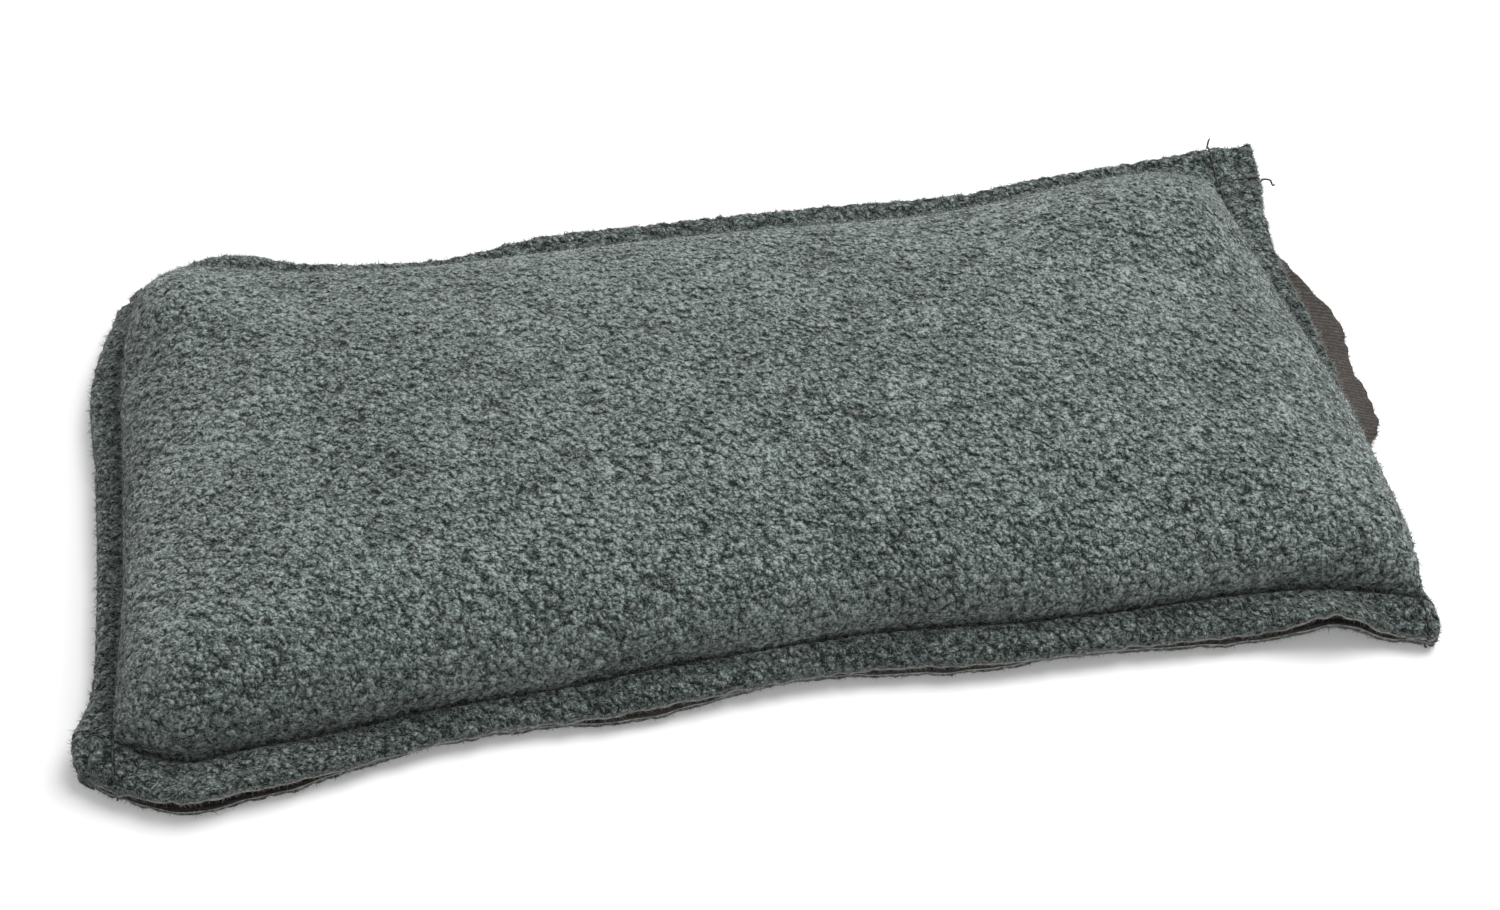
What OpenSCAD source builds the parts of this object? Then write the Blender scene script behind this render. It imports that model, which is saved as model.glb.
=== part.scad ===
// Eye pillow: a folded fleece cover closed by four straight seams, round a cotton bag of seed.
// X runs from the folded end (low) to the raw end (high), Y from front to back, Z up.
// The origin is on the table under the middle of the pad.

/* [Pad] */
// Length from the folded edge to the raw edge
pad_l = 242; // [200:1:292]
// Width from the front raw edge to the back raw edge
pad_w = 130; // [108:1:157]
// Thickness from the table to the crown
pad_h = 26; // [21:0.5:32]
// Rise of the crown above the shoulders
crown_rise = 4; // [2:0.5:6]
// Height of the seams above the table
seam_z = 6; // [5:0.5:7.5]

/* [Fleece cover] */
// Thickness of the fleece with its pile
fleece_t = 2.2; // [1.8:0.1:2.7]
// Gap between the two layers of the margin
layer_gap = 0.4; // [0.2:0.1:0.6]
// Margin outside the seams at the three raw edges
raw_margin = 10; // [8:0.5:12]
// Margin outside the seam at the folded edge
fold_margin = 7; // [5.5:0.5:8.5]
// Reach of the rounded side, from the seam to the shoulder
side_roll = 24; // [20:1:29]

/* [Cover seams] */
// Length of one stitch
stitch_l = 3; // [2.5:0.1:3.6]
// Thickness of the sewing thread
thread_d = 0.4; // [0.3:0.05:0.5]
// Width of the channel that the stitching pulls into the pile
channel_w = 1.5; // [1:0.1:2]

/* [Inner bag] */
// Thickness of the cotton
cotton_t = 0.4; // [0.3:0.05:0.5]
// Gap between the two cotton layers of the bag's margin
cotton_gap = 0.2; // [0.1:0.05:0.25]
// Ease between the bag's edge and the place where the cover opens wide enough for its seams
bag_ease = 2; // [1:0.5:4]
// Margin outside the bag's seams
bag_margin = 5; // [4:0.5:6]
// Length of one stitch in the bag
bag_stitch_l = 3; // [2.5:0.1:3.6]
// Thickness of the thread in the bag
bag_thread_d = 0.25; // [0.2:0.05:0.3]

/* [Filling] */
// Clear space kept between one soft layer and the next
soft_gap = 0.3; // [0.2:0.05:0.35]
// Ease between the filling and the bag's seams
fill_ease = 1.5; // [1.5:0.5:3]

/* [Hidden] */

// Turn from one ring of the rounded side to the next, and rings across the crown
roll_step = 15;
crown_rings_x = 8;
crown_rings_y = 6;
// Turn from one ring of the folded edge to the next
fold_step = 45;
// Share of a stitch from its middle to where the thread leaves the dip, and to the dip's flat bottom
dip_share = 0.375;
lock_share = 0.1875;

// The stitching is sunk by two threads, so that one seam can cross the other in the channel
channel_d = 2 * thread_d;
fleece_shoulder = pad_h - crown_rise;

// Edges and seam lines of the cover: [fold, raw end] along X and [front, back] along Y
cover_x = [-pad_l / 2, pad_l / 2];
cover_y = [-pad_w / 2, pad_w / 2];
cover_seam_x = [cover_x[0] + fold_margin, cover_x[1] - raw_margin];
cover_seam_y = [cover_y[0] + raw_margin, cover_y[1] - raw_margin];

// The bag's edge and the threads under it clear the cover from where the rounded side has opened by
// open_share, which is 0 at the cover's seam and 1 at its shoulder
bag_half_t = cotton_gap / 2 + cotton_t + 2 * bag_thread_d;
open_share = 1 - (seam_z - bag_half_t - soft_gap - fleece_t) / (seam_z - layer_gap / 2 - fleece_t);
bag_inset = fleece_t + side_roll * (1 - cos(asin(open_share))) + bag_ease;

// Edges and seam lines of the inner bag, which is folded at the same end as the cover
bag_x = [cover_seam_x[0] + bag_inset, cover_seam_x[1] - bag_inset];
bag_y = [cover_seam_y[0] + bag_inset, cover_seam_y[1] - bag_inset];
bag_seam_x = [bag_x[0] + bag_margin, bag_x[1] - bag_margin];
bag_seam_y = [bag_y[0] + bag_margin, bag_y[1] - bag_margin];
bag_roll = side_roll + fleece_t - bag_inset - bag_margin;
bag_floor = fleece_t + soft_gap;
bag_shoulder = fleece_shoulder - fleece_t - soft_gap;

// The filling's rim and heights
fill_x = [bag_seam_x[0] + fill_ease, bag_seam_x[1] - fill_ease];
fill_y = [bag_seam_y[0] + fill_ease, bag_seam_y[1] - fill_ease];
fill_roll = bag_roll + cotton_t - fill_ease;
fill_floor = bag_floor + cotton_t + soft_gap;
fill_shoulder = bag_shoulder - cotton_t - soft_gap;

// One ring across the pad is [place, way in, rise from 0 at the seam to 1 at the shoulder, seam or not]
function edge_rings(edge, seam, way, roll, channel) = concat(
    edge == seam ? [] : [[edge, 0, 0, false], [seam - way * channel, 0, 0, false]],
    [[seam, 0, 0, true]],
    [for (a = [roll_step:roll_step:90]) [seam + way * roll * (1 - cos(a)), way, sin(a), false]]
);
function crown_rings(from, to, count) =
    [for (i = [1:count - 1]) [from + (to - from) * i / count, 0, 1, false]];
function reversed(list) = [for (i = [len(list) - 1:-1:0]) list[i]];
function rings(edges, seams, roll, channel, count) = concat(
    edge_rings(edges[0], seams[0], 1, roll, channel),
    crown_rings(seams[0] + roll, seams[1] - roll, count),
    reversed(edge_rings(edges[1], seams[1], -1, roll, channel))
);

// Height of the crown over the shoulders
function crown(x, y) = crown_rise * max(0, 1 - pow(2 * x / pad_l, 2)) * max(0, 1 - pow(2 * y / pad_w, 2));

// A point on the upper or the lower layer of a cloth. depth is 0 on its outside and the cloth's
// thickness on its inside, and sink is how far the stitching pulls its outside in
function upper_point(u, v, t, gap, sink, depth, shoulder) =
    let(rise = u[2] * v[2], x = u[0] + depth * u[1], y = v[0] + depth * v[1])
    [x, y, seam_z + gap / 2 + t - depth + (shoulder - seam_z - gap / 2 - t) * rise + crown(x, y) * rise
        - (depth == 0 && (u[3] || v[3]) ? sink : 0)];
function lower_point(u, v, t, gap, sink, depth, floor_z) =
    let(rise = u[2] * v[2], x = u[0] + depth * u[1], y = v[0] + depth * v[1])
    [x, y, floor_z + depth + (seam_z - gap / 2 - t - floor_z) * (1 - rise)
        + (depth == 0 && (u[3] || v[3]) ? sink : 0)];
function fold_point(angle, v, t, gap, sink, depth, fold_x) =
    let(r = gap / 2 + t - depth - (depth == 0 && v[3] ? sink : 0))
    [fold_x + gap / 2 + t - r * sin(angle), v[0], seam_z - r * cos(angle)];

// Faces between rows of points that each hold n points, starting at point number first
function sheet_faces(rows, n, first, flip) = [
    for (i = [0:rows - 2]) for (j = [0:n - 2])
        let(a = first + i * n + j, b = a + 1, c = a + n, d = c + 1)
        for (f = [[a, b, d], [a, d, c]]) flip ? reversed(f) : f
];
// Faces of the wall between two matching lines of point numbers
function wall_faces(p, q) = [
    for (i = [0:len(p) - 2]) for (f = [[p[i], p[i + 1], q[i + 1]], [p[i], q[i + 1], q[i]]]) f
];

// One strip of cloth folded once at its low X end: lower layer, round the fold, upper layer
module folded_cloth(us, vs, t, gap, sink, floor_z, shoulder, fold_x) {
    n = len(vs);
    // The first ring lies at the fold itself, where the rounded edge takes its place
    back_us = reversed([for (i = [1:len(us) - 1]) us[i]]);
    out_us = reversed(back_us);
    angles = [for (a = [fold_step:fold_step:180 - fold_step]) a];
    function skin(depth) = concat(
        [for (u = back_us) for (v = vs) lower_point(u, v, t, gap, sink, depth, floor_z)],
        [for (a = angles) for (v = vs) fold_point(a, v, t, gap, sink, depth, fold_x)],
        [for (u = out_us) for (v = vs) upper_point(u, v, t, gap, sink, depth, shoulder)]
    );
    rows = 2 * len(back_us) + len(angles);
    inside = rows * n;
    front_out = [for (i = [0:rows - 1]) i * n];
    back_out = [for (i = [0:rows - 1]) i * n + n - 1];
    low_end = [for (j = [0:n - 1]) j];
    high_end = [for (j = [0:n - 1]) (rows - 1) * n + j];
    function under(list) = [for (k = list) k + inside];
    polyhedron(
        concat(skin(0), skin(t)),
        concat(
            sheet_faces(rows, n, 0, false),
            sheet_faces(rows, n, inside, true),
            wall_faces(front_out, under(front_out)),
            wall_faces(under(back_out), back_out),
            wall_faces(under(low_end), low_end),
            wall_faces(high_end, under(high_end))
        ),
        convexity = 6
    );
}

// A closed lens of loose filling between an upper and a lower dome
module lens(us, vs, rim_h, floor_z, shoulder) {
    n = len(vs);
    rows = len(us);
    top = [for (u = us) for (v = vs) upper_point(u, v, rim_h / 2, 0, 0, 0, shoulder)];
    base = [for (u = us) for (v = vs) lower_point(u, v, rim_h / 2, 0, 0, 0, floor_z)];
    under = rows * n;
    front = [for (i = [0:rows - 1]) i * n];
    back = [for (i = [0:rows - 1]) i * n + n - 1];
    low = [for (j = [0:n - 1]) j];
    high = [for (j = [0:n - 1]) (rows - 1) * n + j];
    function below(list) = [for (k = list) k + under];
    polyhedron(
        concat(top, base),
        concat(
            sheet_faces(rows, n, 0, false),
            sheet_faces(rows, n, under, true),
            wall_faces(front, below(front)),
            wall_faces(below(back), back),
            wall_faces(below(low), low),
            wall_faces(high, below(high))
        ),
        convexity = 4
    );
}

// Outline of a stitched thread from its side: it runs along at run_z and dips to the middle
// plane between the layers once in each stitch. The stitches are counted between two seams
function stitch_path(edges, seams, pitch, d, run_z) =
    let(
        n = max(1, round((seams[1] - seams[0]) / pitch)),
        p = (seams[1] - seams[0]) / n,
        before = floor((seams[0] - edges[0]) / p),
        after = floor((edges[1] - seams[1]) / p)
    )
    concat(
        [[edges[0], run_z]],
        [for (i = [-before:n + after - 1])
            let(c = seams[0] + (i + 0.5) * p)
            for (k = [[-dip_share, run_z], [-lock_share, d / 2], [lock_share, d / 2], [dip_share, run_z]])
                [c + k[0] * p, k[1]]],
        [[edges[1], run_z]]
    );
module thread(edges, seams, pitch, d, run_z) {
    path = stitch_path(edges, seams, pitch, d, run_z);
    translate([0, d / 2, seam_z]) rotate([90, 0, 0])
        linear_extrude(d) polygon(concat(
            [for (p = path) [p[0], p[1] + d / 2]],
            reversed([for (p = path) [p[0], p[1] - d / 2]])
        ));
}

// Threads of the cover. Level 0 lies in the channel and level 1 crosses over it
module cover_thread_x(y, level) {
    translate([0, y, 0])
        thread(cover_x, cover_seam_x, stitch_l, thread_d,
            layer_gap / 2 + fleece_t - channel_d + (level + 0.5) * thread_d);
}
module cover_thread_y(x, level) {
    translate([x, 0, 0]) rotate([0, 0, 90])
        thread(cover_y, cover_seam_y, stitch_l, thread_d,
            layer_gap / 2 + fleece_t - channel_d + (level + 0.5) * thread_d);
}
module bag_thread_x(y, level) {
    translate([0, y, 0])
        thread(bag_x, bag_seam_x, bag_stitch_l, bag_thread_d,
            cotton_gap / 2 + cotton_t + (level + 0.5) * bag_thread_d);
}
module bag_thread_y(x, level) {
    translate([x, 0, 0]) rotate([0, 0, 90])
        thread(bag_y, bag_seam_y, bag_stitch_l, bag_thread_d,
            cotton_gap / 2 + cotton_t + (level + 0.5) * bag_thread_d);
}
// The bobbin thread is the needle thread's mirror image below the middle plane
module bobbin() {
    translate([0, 0, 2 * seam_z]) mirror([0, 0, 1]) children();
}

module fleece_cover() {
    color("dimgray")
        folded_cloth(
            rings(cover_x, cover_seam_x, side_roll, channel_w, crown_rings_x),
            rings(cover_y, cover_seam_y, side_roll, channel_w, crown_rings_y),
            fleece_t, layer_gap, channel_d, 0, fleece_shoulder, cover_x[0]
        );
}
module inner_bag() {
    color("antiquewhite")
        folded_cloth(
            rings(bag_x, bag_seam_x, bag_roll, channel_w, crown_rings_x),
            rings(bag_y, bag_seam_y, bag_roll, channel_w, crown_rings_y),
            cotton_t, cotton_gap, 0, bag_floor, bag_shoulder, bag_x[0]
        );
}
module seed_fill() {
    color("saddlebrown")
        lens(
            rings(fill_x, fill_x, fill_roll, 0, crown_rings_x),
            rings(fill_y, fill_y, fill_roll, 0, crown_rings_y),
            cotton_gap, fill_floor, fill_shoulder
        );
}

module front_seam_needle_thread() { color("black") cover_thread_x(cover_seam_y[0], 0); }
module front_seam_bobbin_thread() { color("black") bobbin() cover_thread_x(cover_seam_y[0], 0); }
module back_seam_needle_thread() { color("black") cover_thread_x(cover_seam_y[1], 0); }
module back_seam_bobbin_thread() { color("black") bobbin() cover_thread_x(cover_seam_y[1], 0); }
module left_seam_needle_thread() { color("black") cover_thread_y(cover_seam_x[0], 1); }
module left_seam_bobbin_thread() { color("black") bobbin() cover_thread_y(cover_seam_x[0], 1); }
module right_seam_needle_thread() { color("black") cover_thread_y(cover_seam_x[1], 1); }
module right_seam_bobbin_thread() { color("black") bobbin() cover_thread_y(cover_seam_x[1], 1); }
module bag_front_seam_needle_thread() { color("ivory") bag_thread_x(bag_seam_y[0], 0); }
module bag_front_seam_bobbin_thread() { color("ivory") bobbin() bag_thread_x(bag_seam_y[0], 0); }
module bag_back_seam_needle_thread() { color("ivory") bag_thread_x(bag_seam_y[1], 0); }
module bag_back_seam_bobbin_thread() { color("ivory") bobbin() bag_thread_x(bag_seam_y[1], 0); }
module bag_end_seam_needle_thread() { color("ivory") bag_thread_y(bag_seam_x[1], 1); }
module bag_end_seam_bobbin_thread() { color("ivory") bobbin() bag_thread_y(bag_seam_x[1], 1); }

fleece_cover();
front_seam_needle_thread();
front_seam_bobbin_thread();
back_seam_needle_thread();
back_seam_bobbin_thread();
left_seam_needle_thread();
left_seam_bobbin_thread();
right_seam_needle_thread();
right_seam_bobbin_thread();
inner_bag();
bag_front_seam_needle_thread();
bag_front_seam_bobbin_thread();
bag_back_seam_needle_thread();
bag_back_seam_bobbin_thread();
bag_end_seam_needle_thread();
bag_end_seam_bobbin_thread();
seed_fill();
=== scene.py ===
import math
import bpy
import numpy as np
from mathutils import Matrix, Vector


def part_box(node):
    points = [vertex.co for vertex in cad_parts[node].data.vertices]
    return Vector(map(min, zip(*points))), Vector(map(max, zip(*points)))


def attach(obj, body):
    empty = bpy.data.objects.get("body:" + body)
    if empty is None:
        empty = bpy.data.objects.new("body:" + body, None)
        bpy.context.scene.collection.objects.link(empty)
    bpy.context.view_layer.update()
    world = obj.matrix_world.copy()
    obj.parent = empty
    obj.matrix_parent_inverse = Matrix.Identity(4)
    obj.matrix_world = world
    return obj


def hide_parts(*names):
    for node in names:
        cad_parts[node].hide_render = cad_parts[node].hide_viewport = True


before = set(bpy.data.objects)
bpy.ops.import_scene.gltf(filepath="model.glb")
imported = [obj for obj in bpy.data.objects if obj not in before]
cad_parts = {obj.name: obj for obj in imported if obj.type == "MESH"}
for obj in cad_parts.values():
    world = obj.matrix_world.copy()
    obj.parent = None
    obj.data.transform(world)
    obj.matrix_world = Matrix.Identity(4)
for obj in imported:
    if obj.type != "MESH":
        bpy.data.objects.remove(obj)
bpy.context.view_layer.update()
scene = bpy.context.scene

# ------------------------------------------------------------
# The view, the light and the table
# The pad lies on a plain white table, seen from above its front and a little from its left.
# One wide lamp stands behind it to the right, and the white room fills the shadows.

AIM = Vector((0.0024, -0.0078, 0.0100))
AZIMUTH, ELEVATION, ROLL = math.radians(-7.5), math.radians(45.43), math.radians(0.2)
DISTANCE = 0.4825
LENS_MM = 62.4

camera = bpy.data.objects.new("camera", bpy.data.cameras.new("camera"))
scene.collection.objects.link(camera)
camera.data.lens = LENS_MM
camera.data.sensor_width = 36
camera.data.clip_start = 0.01
back = Vector((
    math.sin(AZIMUTH) * math.cos(ELEVATION),
    -math.cos(AZIMUTH) * math.cos(ELEVATION),
    math.sin(ELEVATION),
))
camera.location = AIM + back * DISTANCE
camera.rotation_euler = (-back).to_track_quat("-Z", "Y").to_euler()
camera.rotation_euler.rotate_axis("Z", ROLL)
scene.camera = camera
scene.view_settings.view_transform = "Standard"


class Wire:
    """One value in a node tree. A sum or product of wires adds the Math nodes that work it out."""

    def __init__(self, tree, socket):
        self.tree = tree
        self.socket = socket

    def maths(self, operation, *others):
        values = {i: v for i, v in enumerate((self,) + others)}
        return node(self.tree, "ShaderNodeMath", {"operation": operation}, values)

    def __add__(self, other):
        return self.maths("ADD", other)

    def __mul__(self, other):
        return self.maths("MULTIPLY", other)

    def __sub__(self, other):
        return self.maths("SUBTRACT", other)

    def __rsub__(self, other):
        return node(self.tree, "ShaderNodeMath", {"operation": "SUBTRACT"}, {0: other, 1: self})

    def __truediv__(self, other):
        return self.maths("DIVIDE", other)

    def __rtruediv__(self, other):
        return node(self.tree, "ShaderNodeMath", {"operation": "DIVIDE"}, {0: other, 1: self})

    def __pow__(self, other):
        return self.maths("POWER", other)

    __radd__ = __add__
    __rmul__ = __mul__

    def limited(self):
        return node(self.tree, "ShaderNodeClamp", {}, {"Value": self})


def node(tree, kind, settings=None, sockets=None, out=0):
    """Adds a node, makes its settings first and then its sockets, and returns one output as a Wire."""
    made = tree.nodes.new(kind)
    for name, value in (settings or {}).items():
        setattr(made, name, value)
    for key, value in (sockets or {}).items():
        if isinstance(value, Wire):
            tree.links.new(value.socket, made.inputs[key])
        else:
            made.inputs[key].default_value = value
    return Wire(tree, made.outputs[out])


def mixed(tree, share, first, second):
    """A colour between two colours."""
    return node(tree, "ShaderNodeMix", {"data_type": "RGBA"}, {0: share, 6: first, 7: second}, 2)


def new_material(name):
    material = bpy.data.materials.new(name)
    material.use_nodes = True
    material.node_tree.nodes.clear()
    return material, material.node_tree


def finish_material(tree, surface):
    node_out = tree.nodes.new("ShaderNodeOutputMaterial")
    tree.links.new(surface.socket, node_out.inputs["Surface"])


def seen_directly(tree):
    """1 for rays that reach the camera straight, by a mirror or through glass, and 0 for light."""
    path = tree.nodes.new("ShaderNodeLightPath")
    rays = [Wire(tree, path.outputs[name]) for name in
            ("Is Camera Ray", "Is Glossy Ray", "Is Transmission Ray")]
    return (rays[0] + rays[1] + rays[2]).limited()


ROOM_LIGHT = 0.38
LAMP_WATTS = 14.5
LAMP_SIZE = 0.9
LAMP_AT = Vector((0.50, 0.34, 0.92))
TABLE_SIZE = 6.0
TABLE_WHITE = (0.85, 0.85, 0.85, 1.0)
TABLE_LIFT = 0.22

world = bpy.data.worlds.new("room")
scene.world = world
world.use_nodes = True
world.node_tree.nodes.clear()
direct = seen_directly(world.node_tree)
room = node(world.node_tree, "ShaderNodeBackground", {}, {
    "Color": (1, 1, 1, 1), "Strength": direct + (1 - direct) * ROOM_LIGHT})
world_out = world.node_tree.nodes.new("ShaderNodeOutputWorld")
world.node_tree.links.new(room.socket, world_out.inputs["Surface"])

lamp = bpy.data.objects.new("lamp", bpy.data.lights.new("lamp", "AREA"))
scene.collection.objects.link(lamp)
lamp.data.energy = LAMP_WATTS
lamp.data.size = LAMP_SIZE
lamp.location = LAMP_AT
lamp.rotation_euler = (AIM - LAMP_AT).to_track_quat("-Z", "Y").to_euler()

table_mesh = bpy.data.meshes.new("table")
half = TABLE_SIZE / 2
corners = [(-half, -half, 0), (half, -half, 0), (half, half, 0), (-half, half, 0)]
table_mesh.from_pydata(corners, [], [(0, 1, 2, 3)])
table = bpy.data.objects.new("table", table_mesh)
scene.collection.objects.link(table)
white, tree = new_material("white_table")
paint = node(tree, "ShaderNodeBsdfDiffuse", {}, {"Color": TABLE_WHITE})
glow = node(tree, "ShaderNodeEmission", {}, {
    "Color": (1, 1, 1, 1), "Strength": seen_directly(tree) * TABLE_LIFT})
finish_material(tree, node(tree, "ShaderNodeAddShader", {}, {0: paint, 1: glow}))
table_mesh.materials.append(white)

# ------------------------------------------------------------
# The seed
# About 0.29 litre of loose brown flax seed gives the pad its weight and lets it mould to the face.
# It fills the cotton bag, so its heap has the pad's own shape, a rounded slab.

MM = 0.001
# The filled pad is a little higher in its middle, and this crown would end just outside the seams
CROWN = 4.0
CROWN_REACH = 8.0
SEED_LENGTH, SEED_WIDTH, SEED_THICK = 4.6, 2.4, 1.1
# A seed's outline: places along it and how full it is there, as shares of its length and width
SEED_STATIONS = [(-0.5, 0.0), (-0.3, 0.72), (0.0, 1.0), (0.28, 0.62), (0.5, 0.0)]
SEED_SIDES = 6
SEED_DENSITY = 1.0 / 9.5
SEED_TUMBLE = 0.35
SEED_ROUND, SEED_HELD = 14.0, 0.4
SEED_BROWN = (0.235, 0.105, 0.042, 1.0)
# Where the seed has gathered or thinned out: a place, how wide and how deep, and how much higher
FULLER = [
    (-79, 37, 9, 7, -1.0), (-54, 34, 8, 6, -0.8), (38, 37, 10, 7, -0.8), (66, -40, 12, 9, -1.6),
    (22, -42, 16, 9, 0.8), (92, 38, 28, 16, 5.4), (-105, 40, 10, 12, 3.6),
]


def thread_middle(name, axis):
    low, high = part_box(name)
    return (low[axis] + high[axis]) / 2 / MM


seams_x = thread_middle("left_seam_needle_thread", 0), thread_middle("right_seam_needle_thread", 0)
seams_y = thread_middle("front_seam_needle_thread", 1), thread_middle("back_seam_needle_thread", 1)
seam_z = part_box("front_seam_needle_thread")[0].z / MM
pad_high = (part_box("fleece_cover")[1] / MM).z
middle = np.array([(seams_x[0] + seams_x[1]) / 2, (seams_y[0] + seams_y[1]) / 2])
halves = np.array([(seams_x[1] - seams_x[0]) / 2, (seams_y[1] - seams_y[0]) / 2])

# How the seams of the filled pad lie, in mm: places along each side, how far out the seam is
# there, how high it lies, and how far the filled body stands out over it
LIES = {
    "front": {
        "at": [-119, -113, -102, -93, -78, -62, -38, -23, -4, 14, 42, 60, 78, 96, 107, 118],
        "out": [-56.5, -59, -62, -60.8, -59.2, -56.8, -55, -53.2, -51.9, -50.5, -51.3, -51, -49.9,
                -50.6, -53.4, -57.6],
        "up": [7.4, 5.5, 2.5, 2.8, 3, 3.5, 4, 4.5, 5, 5, 5, 5, 5, 5, 5, 5],
        "over": [0.5] * 16,
    },
    "back": {
        "at": [-114, -103, -78, -54, -30, -5, 20, 58, 83, 111],
        "out": [50.5, 52.5, 51.5, 50.5, 50.8, 51.5, 52, 51.5, 53.6, 53],
        "up": [7, 6.5, 4.5, 4, 6.5, 6.5, 7, 8, 10, 13],
        "over": [3, 2.2, 0.8, 0.3, 0, 0.3, 0.2, 1.8, 2.4, 3.2],
    },
    "left": {
        "at": [-55, -46, -25, 7, 32, 55],
        "out": [-112.5, -111.3, -110.6, -111.7, -112.6, -111.5],
        "up": [5.5, 4, 4, 4.5, 5, 7],
        "over": [1.5, 2, 2, 2, 2, 1],
    },
    "right": {
        "at": [-55, -35, -15, 8, 30, 55],
        "out": [116.8, 116.2, 115, 112.6, 109.6, 106.5],
        "up": [5, 5, 5, 6, 8.5, 13],
        "over": [2.4, 2.1, 2.3, 1.3, -1.0, -3.0],
    },
}


def eased(side, name, where):
    """A value along a side, eased from one of its marks to the next."""
    at = np.array(side["at"], float)
    values = np.array(side[name], float)
    slopes = np.gradient(values, at)
    k = np.clip(np.searchsorted(at, where) - 1, 0, len(at) - 2)
    gap = at[k + 1] - at[k]
    w = np.clip((where - at[k]) / gap, 0, 1)
    return (values[k] * (2 * w**3 - 3 * w**2 + 1) + values[k + 1] * (3 * w**2 - 2 * w**3)
            + gap * (slopes[k] * (w**3 - 2 * w**2 + w) + slopes[k + 1] * (w**3 - w**2)))


def lay(x, y, z, rise):
    """Moves points of the flat pattern to where the filled pad holds them. rise is 0 at the seams and
    1 at the shoulders."""
    x, y = np.broadcast_arrays(x, y)
    s = np.clip((x - middle[0]) / halves[0], -1, 1)
    t = np.clip((y - middle[1]) / halves[1], -1, 1)
    left, right, front, rear = (1 - s) / 2, (1 + s) / 2, (1 - t) / 2, (1 + t) / 2
    dx = (left * (eased(LIES["left"], "out", y) - seams_x[0])
          + right * (eased(LIES["right"], "out", y) - seams_x[1]))
    dy = (front * (eased(LIES["front"], "out", x) - seams_y[0])
          + rear * (eased(LIES["back"], "out", x) - seams_y[1]))
    corners = sum(eased(LIES[end], "up", at) * a * b for end, at, a, b in (
        ("front", seams_x[0], left, front), ("front", seams_x[1], right, front),
        ("back", seams_x[0], left, rear), ("back", seams_x[1], right, rear)))
    up = (front * eased(LIES["front"], "up", x) + rear * eased(LIES["back"], "up", x)
          + left * eased(LIES["left"], "up", y) + right * eased(LIES["right"], "up", y) - corners)
    return np.stack([x + dx, y + dy, z + (up - seam_z) * (1 - rise)], -1)


def rounded_rings(first, last, reach, turns, spans, full=1.0):
    """Places and rises of the rings from one seam to the other: round the side, over the crown and
    down. A full below 1 makes the sides steeper."""
    angles = np.linspace(0, math.pi / 2, turns + 1)
    low = first + reach * (1 - np.cos(angles))
    high = last - reach * (1 - np.cos(angles))
    crown = np.linspace(low[-1], high[-1], spans + 1)[1:-1]
    place = np.concatenate([low, crown, high[::-1]])
    side = np.sin(angles) ** full
    rise = np.concatenate([side, np.ones(len(crown)), side[::-1]])
    return place, rise


def crown_height(x, y):
    s = (x - middle[0]) / (halves[0] + CROWN_REACH)
    t = (y - middle[1]) / (halves[1] + CROWN_REACH)
    return CROWN * np.clip(1 - s**2, 0, 1) * np.clip(1 - t**2, 0, 1)


def pillow(xs, ys, reach, floor, shoulder, turns, spans_x, spans_y, over=0.0, held=1.0, full=1.0):
    """The upper and lower domes between four seams, as two grids of points that share their border.
    over is the share of the body's own standing out over its seams, and held is how closely the
    border follows the cover's seams up and down."""
    px, rx = rounded_rings(xs[0], xs[1], reach, turns, spans_x, full)
    py, ry = rounded_rings(ys[0], ys[1], reach, turns, spans_y, full)
    x, y = np.meshgrid(px, py, indexing="ij")
    rise = rx[:, None] * ry[None, :]
    top = seam_z + (shoulder - seam_z + crown_height(x, y)) * rise
    base = seam_z + (floor - seam_z) * rise
    follow = 1 - (1 - rise) * held
    upper = lay(x, y, top, follow)
    out_x, out_y = (2 * r * np.sqrt(1 - np.minimum(r, 1)**2) for r in (rx, ry))
    over_left, over_right = eased(LIES["left"], "over", y), eased(LIES["right"], "over", y)
    over_front, over_back = eased(LIES["front"], "over", x), eased(LIES["back"], "over", x)
    side_x = np.where(x < middle[0], -over_left, over_right)
    side_y = np.where(y < middle[1], -over_front, over_back)
    upper[..., 0] += over * out_x[:, None] * side_x * ry
    upper[..., 1] += over * out_y[None, :] * side_y * rx[:, None]
    for at_x, at_y, wide, deep, more in FULLER:
        bump = np.exp(-((upper[..., 0] - at_x) / wide)**2 - ((upper[..., 1] - at_y) / deep)**2)
        upper[..., 2] += more * bump * rise
    return upper, lay(x, y, base, follow), rise


def grid_faces(numbers, flip=False):
    """Four-sided faces over a grid of point numbers."""
    a, b, c, d = numbers[:-1, :-1], numbers[1:, :-1], numbers[1:, 1:], numbers[:-1, 1:]
    faces = np.stack([a, b, c, d], -1).reshape(-1, 4)
    return faces[:, ::-1] if flip else faces


def new_piece(name, points_mm, faces, materials, smooth=True):
    """A mesh object at the origin, from points in millimetres."""
    mesh = bpy.data.meshes.new(name)
    points = np.asarray(points_mm, float).reshape(-1, 3) * MM
    mesh.from_pydata(points.tolist(), [], [tuple(f) for f in np.asarray(faces).tolist()])
    mesh.update()
    mesh.polygons.foreach_set("use_smooth", [smooth] * len(mesh.polygons))
    for material in materials:
        mesh.materials.append(material)
    piece = bpy.data.objects.new(name, mesh)
    scene.collection.objects.link(piece)
    return piece


def sewn_numbers(shape):
    """Point numbers of an upper and a lower grid that share their border."""
    rows, columns = shape
    upper = np.arange(rows * columns).reshape(shape)
    lower = upper.copy()
    inner = np.arange((rows - 2) * (columns - 2)).reshape(rows - 2, columns - 2)
    lower[1:-1, 1:-1] = rows * columns + inner
    return upper, lower


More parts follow.
